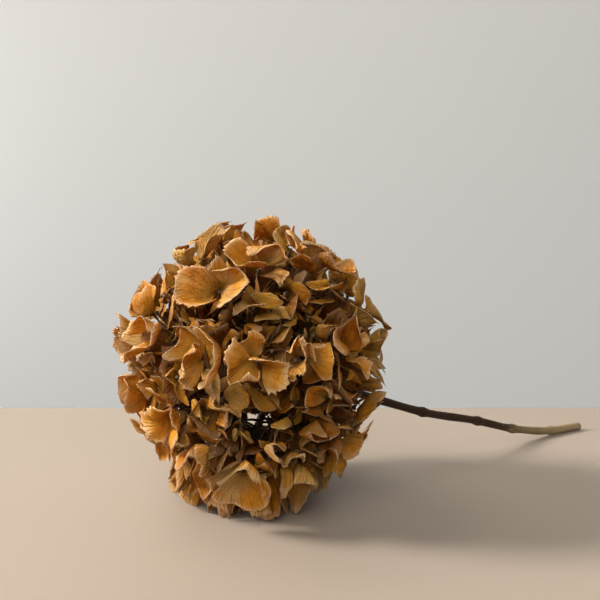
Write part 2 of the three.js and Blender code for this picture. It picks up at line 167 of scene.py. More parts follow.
# Crumpling of the whole head: height, length and number of its waves
WAVES = [(2.4, 26, 4), (0.9, 10, 5)]
WAVE_STRETCH = (0.8, 1.3)
WAVE_PHASES = (0, 7)
CRUMPLE_FROM = 4  # height above the surface at which it starts
CRUMPLE_FULL = 16

# Extra florets where the outline would fall in: direction and depth below the outer ones
EXTRA_FLORETS = [
    ((0.81, -0.52, -0.26), 1),
    ((0.65, -0.64, 0.48), 0),
    ((0.47, -0.52, -0.69), 1),
    ((-0.83, 0.28, 0.49), 0),
    ((0.19, -0.35, 0.95), 0),
    ((-0.63, 0.15, 0.78), 3),
    ((0.70, -0.67, 0.34), 5),
    ((0.17, -0.91, 0.53), 8),
    ((0.81, 0.31, 0.31), 4),
    ((0.68, -0.66, -0.33), 0),
    ((0.35, -0.92, -0.19), 6),
    ((0.52, -0.80, -0.30), 5),
    ((0.88, 0.25, -0.36), 2),
]

# Gap florets fill the gaps a little below the outer ones, a little darkened with painted shade
GAP_FLORETS = 96
GAP_CANDIDATES = 500  # places that they are chosen from
GAP_START = 0.5  # turn of the first of those places
GAP_DEPTH = 5
GAP_SIZE = 1.22
GAP_LIFT = (0.15, 0.75)
GAP_PAINTED_SHADE = 0.26
GAP_ROWS = 6
GAP_COLUMNS = 20

# Inner florets are small, darkened with painted shade, and lie flatter, under the others
INNER_FLORETS = 80
INNER_START = 1.1
INNER_DEPTH = 20
INNER_SIZE = 0.9
INNER_LIFT = (0.0, 0.4)
INNER_PAINTED_SHADE = 0.65
INNER_ROWS = 4
INNER_COLUMNS = 10

# What the extra, the gap and the inner florets share
ADDED_BARE_FROM = math.radians(157)  # they reach further round to the stem than the outer florets
ADDED_JITTER = 2  # of their depth
ADDED_LEAN = 0.5
ADDED_CURL = 0.5  # as a share of the outer ones' curl and cup

# A narrow opening runs right through the head: a point on its line, its direction and its radius
OPENING_POINT = np.array([-1.0, -7.5, 41.8])
OPENING_LINE = np.array([0.458, 0.857, -0.237])
OPENING_RADIUS = 4.5

# Rays and pedicels, as in the part, but with finer pedicels and buds
RAY_RADIUS = 2.1
RAY_TIP_RADIUS = 1.3
RAY_RIDGES = (0.12, 5, 3)  # height, how many round the ray, and how far they wind along it
RAY_SUNK = 0.75  # length of a ray below its start on the stem's line
SPRAY_SPREAD = math.radians(42)  # from its axis to a floret whose pedicel leaves it at its root
FIRST_PEDICEL = 0.08
LAST_PEDICEL = 0.94
PEDICEL_RADIUS = 0.75
PEDICEL_TAPER = 0.35
PEDICEL_FLARE = 0.5  # at its top, under the sepals
FLARE_FROM = 0.9
PEDICEL_BELOW = 0.2  # its top below the floret's middle
PEDICEL_BOW = 0.4  # how far it comes up square to the floret, as a share of its length
BUD_RADIUS = 1.05
BUD_FLATTENED = 0.25
BUD_RISE = 0.6  # of its middle above the floret's, as a share of its radius
TUBE_STEP = 0.01  # share of a tube's path over which its direction is taken

# Stem, as in the part, but with longer swellings: its line as [x, height] from the cut end
STEM_LINE = np.array(
    [[268, 2.7], [239, 3.4], [199, 10], [166, 19.5], [119, 31], [89, 41], [52, 54.5], [20, 64.9]]
)
STEM_RADIUS = 2.7
STEM_TOP_RADIUS = 2.2
STEM_NODES = [239, 199, 166, 119]  # x of the leaf nodes
NODE_SWELL = 0.75
NODE_HALF_LENGTH = 2.6
# What makes it uneven: height, how many round the stem, and how fast they wind along it
STEM_UNEVEN = [(0.1, 6, 0.02), (0.08, 2, 0.23)]
STEM_SUNK = 1.5  # length of its top part inside the part below
STEM_TOP = 0.02  # share of its path over which its direction at the top is taken

# View, in metres: the camera looks over the surface at the head, and the stem runs off to the right
CAMERA_PLACE = (-0.17256, -0.32864, 0.13045)
CAMERA_PITCH = math.radians(-4.011)
CAMERA_HEADING = math.radians(-31.7)
FORWARD = np.array([-math.sin(CAMERA_HEADING), math.cos(CAMERA_HEADING), 0.0])  # level
RIGHT = np.cross(FORWARD, UP)
CAMERA_LENS = 42.78
CAMERA_SENSOR = 36

# Stage, in metres
FLOOR_EDGE = 0.583  # from the camera to the far edge of the surface
FLOOR_SIZE = (8.0, 4.0)
FLOOR_COLOUR = (0.325, 0.267, 0.215)
BACKDROP_DISTANCE = 1.6
BACKDROP_SIZE = (7.0, 4.0)
BACKDROP_COLOUR = (0.860, 0.860, 0.850)

# Lights: direction from the head, then size in metres, power, colour and spread in degrees
LIGHT_DISTANCE = 3.0
LIGHTS = {
    "window": ((-1.40, 0.87, 1.0), 0.7, 9.3, (1.0, 0.95, 0.88), 40),
    "sky": ((-0.4, 0.9, 1.4), 1.6, 31, (1.0, 0.96, 0.90), 180),
    "room": ((-0.9, -1.0, 1.0), 2.2, 65, (1.0, 0.97, 0.93), 180),
}
# The light on the backdrop, its place and its target: sideways, in front of the backdrop, and up
WASH = (0.8, 3, (1.0, 0.99, 0.96), 180)
WASH_PLACE = (-1.3, 0.6, 0.35)
WASH_TARGET = (-0.4, 0.0, 0.25)
WORLD_COLOUR = (0.84, 0.82, 0.79, 1)
WORLD_STRENGTH = 0.30


# --- The rule that places the florets ---


def make_random(seed):
    """The same draws every run."""
    state = seed

    def draw(low, high):
        nonlocal state
        state = state * DRAW_FACTOR % DRAW_MODULUS
        return low + (high - low) * state / DRAW_MODULUS

    return draw


def direction(angle, turn):
    """A direction at an angle from the face's middle, turned round it from the crown."""
    return (
        FACE * math.cos(angle)
        + CROWN * math.sin(angle) * math.cos(turn)
        + SIDE * math.sin(angle) * math.sin(turn)
    )


def outline_reach(toward):
    """How far the head's outline lies from its centre in a direction, or in each of several."""
    along = toward @ FACE
    across = np.sqrt(np.maximum(0, 1 - along * along))
    slump = SLUMP * np.maximum(0, toward @ LOW_SIDE) ** 2
    return (1 - slump) / np.hypot(along / HEAD_HALF_DEPTH, across / HEAD_RADIUS)


def make_sprays(random):
    """The sprays' axes, each from its start on the stem's line through its seat to its end."""
    sprays = []
    for tier in TIERS:
        for i in range(tier.count):
            angle = tier.angle + (random(-TIER_JITTER, TIER_JITTER) if tier.angle else 0)
            turn = tier.turn + FULL_TURN * i / tier.count + random(-TIER_JITTER, TIER_JITTER)
            toward = direction(angle, turn)
            start = CENTRE + FACE * tier.leaves
            end = CENTRE + toward * SPRAY_REACH
            spray = SimpleNamespace(toward=toward, start=start, end=end, line=unit(end - start))
            spray.seat = start + (end - start) * SEAT_SHARE
            spray.florets = []
            sprays.append(spray)
    return sprays


def make_sepals(random):
    """Four sepals round a floret's middle, each drawn from the same ranges."""
    openness = random(0, 1)
    lift = math.radians(CLOSED_LIFT + OPEN_LIFT * openness)
    sepals = []
    for i in range(4):
        turn = i * math.pi / 2 + random(-SEPAL_TURN_JITTER, SEPAL_TURN_JITTER)
        sepal = SimpleNamespace(turn=turn)
        sepal.length = SEPAL_LENGTH * random(*LENGTH_SHARES)
        sepal.half_angle = math.radians(random(*HALF_ANGLES))
        sepal.lift = lift + random(*LIFT_JITTER)
        sepal.curl = random(*CURLS)
        sepal.cup = random(*CUPS)
        sepal.wave = random(*WAVE_SHARES)
        sepal.phase = random(0, FULL_TURN)
        sepals.append(sepal)
    return sepals


def make_florets(random):
    """The part's own florets. is_rest marks the one that the head rests on, pressed flat."""
    florets = []
    for i in range(FLORETS):
        angle = even_angle(i, FLORETS, BARE_FROM) + random(-ANGLE_JITTER, ANGLE_JITTER)
        turn = i * GOLDEN_ANGLE + random(-TURN_JITTER, TURN_JITTER)
        floret = SimpleNamespace(toward=direction(abs(angle), turn), proud=0)
        floret.is_outer = True
        floret.is_rest = False
        floret.depth = LAYERS[i % len(LAYERS)] + random(-LAYER_JITTER, LAYER_JITTER)
        floret.lean = random(0, MOST_LEAN)
        floret.lean_turn = random(0, FULL_TURN)
        floret.spin = random(0, FULL_TURN)
        floret.sepals = make_sepals(random)
        florets.append(floret)
    for toward, rise in PROUD_FLORETS:
        floret = nearest(florets, toward)
        floret.toward = unit(toward)
        floret.depth = rise
        floret.proud = PROUD_REACH
        for sepal in floret.sepals:
            sepal.lift = PROUD_LIFT
    missing = nearest(florets, HOLLOW)
    florets = [floret for floret in florets if floret is not missing]
    lowest = nearest(florets, -UP)
    lowest.toward = -UP
    lowest.lean = 0
    lowest.is_rest = True
    for floret in florets:
        place_floret(floret)
    return florets


def even_angle(i, count, bare_from):
    """The angle from the face's middle of one of count places, spread as far as bare_from."""
    share = (i + 0.5) / count
    return math.acos(1 - share * (1 - math.cos(bare_from)))


def nearest(things, toward):
    """The floret or spray that lies nearest to a direction."""
    return max(things, key=lambda thing: thing.toward @ np.asarray(toward, float))


def place_floret(floret):
    """Gives a floret its middle and the normal of its plane."""
    if floret.is_rest:
        reach = HEAD_HEIGHT - BLADE / 2
    else:
        reach = outline_reach(floret.toward) - SEPAL_RISE + floret.depth
    floret.middle = CENTRE + floret.toward * reach
    a, b = across_pair(floret.toward)
    floret.normal = (
        floret.toward * math.cos(floret.lean)
        + a * math.sin(floret.lean) * math.cos(floret.lean_turn)
        + b * math.sin(floret.lean) * math.sin(floret.lean_turn)
    )
    if floret.is_rest:
        for sepal in floret.sepals:
            sepal.length = REST_SEPAL
            sepal.lift = 0
            sepal.curl = REST_CURL
            sepal.cup = 0
            sepal.wave = 0


def across_pair(toward):
    """Two unit vectors square to a direction and to each other, so that a x b = direction."""
    helper = UP if abs(toward[2]) < 0.9 else np.array([1.0, 0.0, 0.0])
    a = unit(np.cross(helper, toward))
    return a, np.cross(toward, a)


def spoke(floret, turn):
    """The direction in a floret's plane at a turn about its normal."""
    a, b = across_pair(floret.normal)
    return a * math.cos(floret.spin + turn) + b * math.sin(floret.spin + turn)


# --- What keeps florets and sepals clear of each other ---


def planes_round(floret, florets):
    """Planes that hold a floret clear of its neighbours; an upper one spreads over a lower one."""
    planes = []
    for other in florets:
        apart = np.linalg.norm(floret.middle - other.middle)
        if other is floret or other.is_rest or apart > NEIGHBOUR_REACH:
            continue
        outward = unit(floret.toward + other.toward)
        across = other.toward - floret.toward
        across = unit(across - outward * (across @ outward))
        near_floor = smooth_step(*UPRIGHT_RANGE, -outward[2])
        step = np.clip((floret.depth - other.depth) / OVERLAP_DEPTH, -1, 1)
        most = OVERLAP_TILT if floret.is_outer and other.is_outer else GAP_TILT
        tilt = step * most * (1 - near_floor)
        normal = across * math.cos(tilt) - outward * math.sin(tilt)
        half = (floret.middle + other.middle) / 2
        planes.append((normal, half @ normal - FLORET_CLEARANCE))
        if step < 0:
            planes.append((across, other.middle @ across - PEDICEL_CLEARANCE))
    aside = off_opening(floret)
    inward = -unit(aside)
    planes.append((inward, floret.middle @ inward + np.linalg.norm(aside) - OPENING_RADIUS))
    return planes


def off_opening(floret):
    """From the line of the opening through the head, square to it, to a floret's middle."""
    out = floret.middle - OPENING_POINT
    return out - OPENING_LINE * (out @ OPENING_LINE)


def planes_beside(floret, index):
    """The planes between a sepal and the two beside it. The even pair spreads over the odd pair."""
    turn = floret.sepals[index].turn
    lean = 0 if floret.is_rest else (PAIR_TILT if index % 2 == 0 else -PAIR_TILT)
    planes = []
    for side in (-1, 1):
        gap = floret.sepals[(index + side) % 4].turn - turn
        gap = math.atan2(math.sin(gap), math.cos(gap))
        across = spoke(floret, turn + gap / 2 + side * math.pi / 2)
        normal = across * math.cos(lean) - floret.normal * math.sin(lean)
        planes.append((normal, floret.middle @ normal - SEPAL_CLEARANCE * math.cos(lean)))
    return planes


def smooth_step(low, high, value):
    """0 up to low, 1 from high on, and a smooth rise between them."""
    share = np.clip((value - low) / (high - low), 0, 1)
    return share * share * (3 - 2 * share)


def bend_clear(points, heading, planes, proud):
    """Bends a sheet back inside every plane and the head's outline, and above the surface."""
    for normal, offset in planes:
        past = points @ normal - offset
        past_zone = np.maximum(past + BEND_ZONE, 0)
        lost = past_zone - BEND_ZONE * (1 - np.exp(-past_zone / BEND_ZONE))
        facing = heading @ normal
        slide = heading - normal * facing
        sliding = np.linalg.norm(slide)
        move = -normal
        if facing > SLIDES_FROM and sliding > SLIDES_FROM:
            move = move + slide * ((1 - sliding) / (facing * sliding))
        points = points + lost[:, None] * move
    return push_back(ease_inside(points, proud), planes, STRAIGHTENING_PASSES)


def push_back(points, planes, passes):
    """Pushes what is past a plane or below the surface straight back."""
    for _ in range(passes):
        for normal, offset in planes:
            points = points - np.maximum(points @ normal - offset, 0)[:, None] * normal
        points[:, 2] = np.maximum(points[:, 2], floor_at(points))
    return points


def ease_inside(points, proud):
    """Draws points that would stand past the head's outline back towards it."""
    out = points - CENTRE
    reach = np.linalg.norm(out, axis=1)
    out = out / reach[:, None]
    limit = outline_reach(out) + proud + SPLAY * smooth_step(*SPLAY_RANGE, -out[:, 2])
    past = np.maximum(reach - limit + OUTLINE_EASE, 0)
    eased = np.where(past > 0, limit - OUTLINE_EASE * np.exp(-past / OUTLINE_EASE), reach)
    return CENTRE + out * eased[:, None]


def make_waves(random):
    """Waves that crumple the whole head, so that sheets that are clear of each other stay clear."""
    waves = []
    for height, length, count in WAVES:
        for _ in range(count):
            along = unit([random(-1, 1) for _ in range(3)])
            push = unit([random(-1, 1) for _ in range(3)])
            stretch = random(*WAVE_STRETCH)
            along = along * FULL_TURN / (length * stretch)
            push = push * height / math.sqrt(count)
            waves.append((along, push, random(*WAVE_PHASES)))
    return waves


CRUMPLES = make_waves(make_random(WAVE_SEED))


def crumple(points):
    """Moves a point, or each of several, with the waves, but not near the surface."""
    shift = sum(np.sin(points @ along + phase)[..., None] * push for along, push, phase in CRUMPLES)
    return points + shift * smooth_step(CRUMPLE_FROM, CRUMPLE_FULL, points[..., 2])[..., None]


def floor_at(points):
    """The lowest height of a sheet: on the surface, or on the sepals pressed flat there."""
    on_others = np.hypot(points[:, 0], points[:, 1]) < REST_SEPAL + REST_MARGIN
    return np.where(on_others, STACKED * BLADE, BLADE / 2)


# --- Fine sepals ---


# What only the fine sepals have, and the range that each is drawn from
DETAILS = {
    "tone": (0, 1),
    "shoulder": (0.04, 0.22),  # how far the outline falls from the tip to the sides
    "point": (0, 1),  # how pointed the tip is
    "flank": (0.16, 0.3),  # how far the sides draw in
    "scallop": (0.01, 0.035),  # depth of the margin's scallops
    "scallops": (9, 16),
    "spoon": (0.0, 0.5),  # hollow of the blade
    "fold": (-0.2, 0.5),  # crease along the midline
    "sharp_fold": (0, 1),  # what makes it sharp on some
    "twist": (-0.8, 0.8),
    "ruffle": (0.8, 2.9),  # height of the ruffles at the margin
    "ruffles": (6, 11),
    "ruffle_phase": (0, FULL_TURN),
    "roll": (-3.0, 4.0),  # of the margin, up or down
    "roll_side": (-1, 1),
    "pleat": (0.08, 0.4),  # height of the fine pleats along the veins
}
DENTS = 4
DENT = ((0.3, 1.2), (-4.5, 4.5), (2, 7), (0, FULL_TURN))  # depth, waves across and along, phase
TEETH = (0.1, 1.0)  # how far each column of the margin stands out or in
MARKS = ("side", "reach", "tone", "bloom", "dark")  # what the sepals' material reads


def draw_details(floret, detail):
    """Draws what the fine sepals of a floret have beyond the part's own."""
    floret.tone = detail(0, 1)
    for sepal in floret.sepals:
        for name, ends in DETAILS.items():
            setattr(sepal, name, detail(*ends))
        sepal.dents = [[detail(*ends) for ends in DENT] for _ in range(DENTS)]
        sepal.teeth = np.array([detail(*TEETH) for _ in range(COLUMNS // 2 + 1)])
        if floret.is_rest:
            for name in ("fold", "sharp_fold", "twist", "roll", "ruffle", "spoon"):
                setattr(sepal, name, 0)
            sepal.pleat = REST_PLEAT
            sepal.dents = []


def sepal_rise(sepal, side, reach, across):
    """How far a fine sepal stands off its flat sheet: cup, crease, waves, roll and dents."""
    hollow = (sepal.cup + sepal.spoon) * across**2 / sepal.length
    rise = hollow + SPOON_TIP * sepal.spoon * sepal.length * reach**3
    fold = sepal.fold + sepal.sharp_fold**3
    rise = rise + fold * (np.sqrt(across**2 + CREASE_ROUND) - math.sqrt(CREASE_ROUND))
    rise = rise + sepal.wave * sepal.length * reach**2 * np.sin(BROAD_WAVES * side + sepal.phase)
    ruffle = np.sin(sepal.ruffles * side + sepal.ruffle_phase)
    rise = rise + sepal.ruffle * reach**3 * ruffle
    rim = np.clip((reach - RIM_FROM) / RIM_WIDTH, 0, 1) ** 2
    roll = np.sin(ROLL_WAVES * side + ROLL_SHIFT * sepal.roll_side)
    rise = rise + sepal.roll * rim * (0.5 + 0.5 * roll)
    rise = rise + sepal.pleat * reach * np.cos(side * PLEATS * math.pi)
    for depth, across_waves, along_waves, phase in sepal.dents:
        rise = rise + depth * reach * np.sin(across_waves * side + along_waves * reach + phase)
    return rise


def sepal_sheet(floret, sepal, side, reach):
    """Points of a fine sepal: side runs from -1 to 1 across it, reach from 0 to 1 along it."""
    opening = CLAW_WIDTH + CLAW_GAIN * smooth_step(0, BLADE_FROM, reach)
    angle = side * sepal.half_angle * WIDEN * opening
    flank = sepal.flank * np.abs(side) ** FLANK_POWER
    outline = 1 - sepal.shoulder * side**2 - sepal.point * POINTED * np.abs(side) - flank
    scallops = sepal.scallop * reach**4 * np.sin(sepal.scallops * side + sepal.phase)
    outline = STRETCH * (outline + scallops)
    column = np.rint((side + 1) / 2 * COLUMNS).astype(int)
    tooth = np.where(column % 2 == 0, sepal.teeth[column // 2], -sepal.teeth[column // 2])
    at_margin = np.clip((reach - TEETH_FROM) / TEETH_WIDTH, 0, 1)
    away = reach * outline * sepal.length + tooth * at_margin
    across = away * np.sin(angle)
    along = away * np.cos(angle)
    rise = sepal_rise(sepal, side, reach, across)
    turn = sepal.twist * reach**1.5
    across, rise = (
        across * np.cos(turn) - rise * np.sin(turn),
        across * np.sin(turn) + rise * np.cos(turn),
    )
    bend = sepal.curl * along / sepal.length
    radius = sepal.length / sepal.curl
    out = radius * np.sin(bend) - rise * np.sin(bend)
    up = radius * (1 - np.cos(bend)) + rise * np.cos(bend)
    outward = spoke(floret, sepal.turn)
    beside = spoke(floret, sepal.turn + math.pi / 2)
    return (
        floret.middle
        + np.outer(across, beside)
        + np.outer(out * math.cos(sepal.lift) - up * math.sin(sepal.lift), outward)
        + np.outer(out * math.sin(sepal.lift) + up * math.cos(sepal.lift), floret.normal)
    )


def shorten_inside(floret, sepal):
    """Makes a sepal smaller, down to a limit, until its margin stands inside the head's outline."""
    whole = sepal.length
    shortest = PROUD_SHORTEST if floret.proud else SHORTEST
    while sepal.length > whole * shortest and not floret.is_rest:
        out = sepal_sheet(floret, sepal, MARGIN_TRIES, np.ones(len(MARGIN_TRIES))) - CENTRE
        reach = np.linalg.norm(out, axis=1)
        if np.all(reach < outline_reach(out / reach[:, None]) + OVERSHOOT):
            break
        sepal.length *= SHORTENING


def soften(points):
    """Rounds off sharp creases inside a sheet, whose points are a grid."""
    for _ in range(SOFTENING_PASSES):
        inner = points[1:-1, 1:-1]
        around = (points[:-2, 1:-1] + points[2:, 1:-1] + points[1:-1, :-2] + points[1:-1, 2:]) / 4
        points[1:-1, 1:-1] = inner + SOFTENING * (around - inner)
    return points


def add_sepal(bm, marks, floret, index, around):
    """Adds one fine sepal, bent clear of the planes around its floret and beside it."""
    sepal = floret.sepals[index]
    rows, columns = floret.layer.rows, floret.layer.columns
    made = bmesh.ops.create_grid(bm, x_segments=rows, y_segments=columns, size=1)["verts"]
    grid = np.array([vert.co for vert in made])
    side = grid[:, 1]
    share = (grid[:, 0] + 1) / 2
    reach = CLAW + (1 - CLAW) * (1 - (1 - share) ** ROW_EASE)
    shorten_inside(floret, sepal)
    points = sepal_sheet(floret, sepal, side, reach)
    heading = spoke(floret, sepal.turn) * math.cos(sepal.lift)
    heading = heading + floret.normal * math.sin(sepal.lift)
    planes = ([] if floret.is_rest else around) + planes_beside(floret, index)
    if not floret.is_rest:
        points = bend_clear(points, heading, planes, floret.proud)
        points = soften(points.reshape(columns + 1, rows + 1, 3)).reshape(-1, 3)
        points = crumple(push_back(points, planes, 1))
    points[:, 2] = np.maximum(points[:, 2], SHEET)
    for vert, point, across, along in zip(made, points, side, reach):
        vert.co = point * MM
        vert[marks.side] = across
        vert[marks.reach] = along
        vert[marks.tone] = sepal.tone
        vert[marks.bloom] = floret.tone
        # Painted shade: how much the floret's layer is darkened for lying deep in the head
        vert[marks.dark] = floret.layer.dark


def make_sepal_piece(name, spray, material):
    """All sepals of a spray, marked with what their material reads."""
    bm = bmesh.new()
    marks = SimpleNamespace(**{key: bm.verts.layers.float.new(key) for key in MARKS})
    for floret in spray.florets:
        around = planes_round(floret, floret.layer.neighbours)
        for index in range(4):
            add_sepal(bm, marks, floret, index, around)
    piece = finish_piece(bm, name, material)
    thickness = piece.modifiers.new("sheet", "SOLIDIFY")
    thickness.thickness = SHEET * MM
    thickness.offset = 0
    return piece


def finish_piece(bm, name, material):
    """A smooth-shaded object at the origin from a finished mesh."""
    for face in bm.faces:
        face.smooth = True
    mesh = bpy.data.meshes.new(name)
    bm.to_mesh(mesh)
    bm.free()
    mesh.materials.append(material)
    piece = bpy.data.objects.new(name, mesh)
    bpy.context.scene.collection.objects.link(piece)
    return piece


# --- Branches ---


def add_tube(bm, path, radius, sides, steps):
    """Adds a closed tube of radius(share, turn) round path(share) and returns its vertices."""
    start = len(bm.verts)
    first_edge = len(bm.edges)
    bmesh.ops.create_cone(
        bm, cap_ends=True, cap_tris=False, segments=sides, radius1=1, radius2=1, depth=1
    )
    bm.edges.ensure_lookup_table()
    long_edges = [e for e in bm.edges[first_edge:] if e.verts[0].co.z != e.verts[1].co.z]
    bmesh.ops.subdivide_edges(bm, edges=long_edges, cuts=steps - 1)
    bm.verts.ensure_lookup_table()
    helper = None
    for vert in bm.verts[start:]:
        share = min(max(vert.co.z + 0.5, 0), 1)
        turn = math.atan2(vert.co.y, vert.co.x)
        at = path(share)
        along = unit(path(min(share + TUBE_STEP, 1)) - path(max(share - TUBE_STEP, 0)))
        if helper is None:
            helper = SIDE if abs(along[1]) < 0.8 else UP
        a = unit(np.cross(helper, along))
        b = np.cross(along, a)
        size = radius(share, turn)
        vert.co = (at + (a * math.cos(turn) + b * math.sin(turn)) * size) * MM
    return bm.verts[start:]


def pedicel_foot(spray, floret):
    """Where a pedicel leaves its spray's axis: the further aside its floret, the lower down."""
    root = spray.seat + spray.line * SEAT_GAP
    aside = math.acos(np.clip(floret.toward @ spray.toward, -1, 1))
    share = np.clip(1 - aside / SPRAY_SPREAD, FIRST_PEDICEL, LAST_PEDICEL)
    return root + (spray.end - root) * share


def add_pedicel(bm, spray, floret):
    """A bowed pedicel that comes up square to its floret and flares under the sepals."""
    foot = pedicel_foot(spray, floret)
    head = crumple(floret.middle) - floret.normal * PEDICEL_BELOW
    knee = head - floret.normal * PEDICEL_BOW * np.linalg.norm(head - foot)

    def path(share):
        return foot * (1 - share) ** 2 + knee * 2 * share * (1 - share) + head * share**2

    def radius(share, turn):
        flare = PEDICEL_FLARE * smooth_step(FLARE_FROM, 1, share)
        return PEDICEL_RADIUS * (1 - PEDICEL_TAPER * share) + flare

    add_tube(bm, path, radius, sides=6, steps=8)


def add_bud(bm, floret):
    """The closed bud at a floret's middle: a small globe, a little flattened."""
    made = bmesh.ops.create_icosphere(bm, subdivisions=2, radius=BUD_RADIUS)["verts"]
    middle = crumple(floret.middle)
    for vert in made:
        co = np.array(vert.co)
        co = co - floret.normal * (co @ floret.normal) * BUD_FLATTENED
        vert.co = (middle + floret.normal * BUD_RADIUS * BUD_RISE + co) * MM


def straight(start, end):
    """A straight path for a tube."""
    return lambda share: start + (end - start) * share


def make_stalk_piece(name, spray, material):
    """A spray's ridged ray with its pedicels and buds."""
    bm = bmesh.new()
    root = spray.seat + spray.line * SEAT_GAP
    height, ridges, winding = RAY_RIDGES

    def radius(share, turn):
        ridge = height * math.sin(ridges * turn + winding * share)
        return RAY_RADIUS + (RAY_TIP_RADIUS - RAY_RADIUS) * share + ridge

    add_tube(bm, straight(root, spray.end), radius, sides=10, steps=10)
    for floret in spray.florets:
        add_pedicel(bm, spray, floret)
        if not floret.is_rest:
            add_bud(bm, floret)
    return finish_piece(bm, name, material)


def stem_point(share):
    """The stem's line: a smooth curve through its points, by share of its length in x."""
    line = STEM_LINE
    x = line[0, 0] + (line[-1, 0] - line[0, 0]) * share
    i = int(np.clip(np.searchsorted(-line[:, 0], -x) - 1, 0, len(line) - 2))
    slopes = np.gradient(line[:, 1], line[:, 0])
    (x0, z0), (x1, z1) = line[i], line[i + 1]
    t = (x - x0) / (x1 - x0)
    span = x1 - x0
    z = (
        (1 + 2 * t) * (1 - t) ** 2 * z0
        + t * (1 - t) ** 2 * span * slopes[i]
        + t**2 * (3 - 2 * t) * z1
        + t**2 * (t - 1) * span * slopes[i + 1]
    )
    return np.array([x, 0.0, z])


def stem_radius(share, turn):
    """The stem tapers, swells at its nodes and is a little uneven."""
    x = stem_point(share)[0]
    size = STEM_RADIUS + (STEM_TOP_RADIUS - STEM_RADIUS) * share
    for node in STEM_NODES:
        size += NODE_SWELL * math.exp(-(((x - node) / NODE_HALF_LENGTH) ** 2))
    return size + sum(
        height * math.sin(around * turn + along * x) for height, around, along in STEM_UNEVEN
    )


def make_stem_piece(sprays, material):
    """The stem, its top inside the head and the rays' roots, marked with their share along it."""
    bm = bmesh.new()
    along = bm.verts.layers.float.new("along")
    cut_end = STEM_LINE[0, 0] * MM
    for vert in add_tube(bm, stem_point, stem_radius, sides=20, steps=150):
        vert[along] = (cut_end - vert.co.x) / cut_end
        vert.co.z = max(vert.co.z, 0)
    heading = unit(stem_point(1) - stem_point(1 - STEM_TOP))
    sunk = stem_point(1) + heading * -STEM_SUNK
    crown = CENTRE + FACE * TIERS[0].leaves
    inside = add_tube(bm, straight(sunk, crown), lambda *_: STEM_TOP_RADIUS, sides=12, steps=4)
    for vert in inside:
        vert[along] = 1
    for spray in sprays:
        root = spray.start - spray.line * RAY_SUNK
        ray = add_tube(bm, straight(root, spray.seat), lambda *_: RAY_RADIUS, sides=10, steps=6)
        for vert in ray:
            vert[along] = 1
    return finish_piece(bm, "stem_bark", material)


# --- Materials ---


def add_node(material, kind, inputs=None, **settings):
    """A shader node with its settings, and its inputs set or linked by name or number."""
    tree = material.node_tree
    node = tree.nodes.new("ShaderNode" + kind)
    for key, value in settings.items():
        setattr(node, key, value)
    for key, value in (inputs or {}).items():
        if isinstance(value, bpy.types.NodeSocket):
            tree.links.new(value, node.inputs[key])
        else:
            node.inputs[key].default_value = value
    return node


def math_node(material, operation, *values):
    """A Math node's result."""
    return add_node(material, "Math", dict(enumerate(values)), operation=operation).outputs[0]


def add_up(material, total, *terms):
    """A value plus each of several values times its share."""
    for value, share in terms:
        total = math_node(material, "MULTIPLY_ADD", value, share, total)
    return total


def mask(material, value, low, high, most=1.0):
    """A smooth step from 0, where value is low, to most, where it is high."""
    inputs = {"Value": value, "From Min": low, "From Max": high, "To Min": 0.0, "To Max": most}
    return add_node(material, "MapRange", inputs, interpolation_type="SMOOTHSTEP").outputs[0]


def opaque(colour):
    """A colour with its alpha, or the socket that a colour comes from."""
    return (*colour, 1) if isinstance(colour, tuple) else colour


def mix(material, factor, a, b):
    """Colour a, with the share that factor gives of colour b."""
    inputs = {0: factor, 6: opaque(a), 7: opaque(b)}
    node = add_node(material, "Mix", inputs, data_type="RGBA", blend_type="MIX", clamp_factor=True)
    return node.outputs[2]


def noise(material, scale, detail, roughness=0.5):
    """Noise that is fixed to the object."""
    place = add_node(material, "TexCoord").outputs["Object"]
    inputs = {"Vector": place, "Scale": scale, "Detail": detail, "Roughness": roughness}
    return add_node(material, "TexNoise", inputs).outputs["Fac"]


def attribute(material, name):
    """What the mesh says of each vertex under a name."""
    node = add_node(material, "Attribute", attribute_name=name, attribute_type="GEOMETRY")
    return node.outputs["Fac"]


def ramp(material, value, stops):
    """Colours that follow a value: each stop is a place and a colour."""
    node = add_node(material, "ValToRGB", {"Fac": value})
    elements = node.color_ramp.elements
    while len(elements) < len(stops):
        elements.new(1)
    for element, (place, colour) in zip(elements, stops):
        element.position = place
        element.color = opaque(colour)
    return node.outputs["Color"]


def new_material(name):
    """A material without nodes."""
    material = bpy.data.materials.new(name)
    material.use_nodes = True
    material.node_tree.nodes.clear()
    return material


def set_surface(material, shader):
    """Gives a material its shader."""
    output = material.node_tree.nodes.new("ShaderNodeOutputMaterial")
    material.node_tree.links.new(shader, output.inputs["Surface"])


def relief_of(material, height, strength, distance):
    """The normal of a surface raised by height, at most by distance in metres."""
    inputs = {"Height": height, "Strength": strength, "Distance": distance}
    return add_node(material, "Bump", inputs).outputs[0]


def dull_surface(material, colour, roughness, specular, relief):
    """The shader of a dull, opaque surface."""
    inputs = {"Base Color": colour, "Roughness": roughness, "Specular IOR Level": specular}
    return add_node(material, "BsdfPrincipled", {**inputs, "Normal": relief}).outputs[0]


# Dried sepals: from dark to light, then what is laid over them
DEEP = (0.205, 0.051, 0.003)
OCHRE = (0.450, 0.152, 0.009)
GOLDEN = (0.670, 0.290, 0.026)
TAN = (0.700, 0.465, 0.210)
HAY = (0.485, 0.280, 0.045)
FADED = (0.530, 0.360, 0.150)
OLIVE = (0.240, 0.128, 0.014)  # at the claw
# A pale margin: partly the sepals' own paler edge, partly a painted highlight where edges catch the
# light
MARGIN_CREAM_AND_HIGHLIGHT = (0.800, 0.620, 0.400)  # along the margin
# Painted shade: the brown that florets lying deep inside the head are darkened towards
PAINTED_SHADE_BROWN = (0.130, 0.026, 0.001)  # deep inside the head
AMBER = (0.660, 0.280, 0.040)  # of the light that comes through
SEPAL_TONES = [(0.0, DEEP), (0.3, OCHRE), (0.62, GOLDEN), (1.0, TAN)]

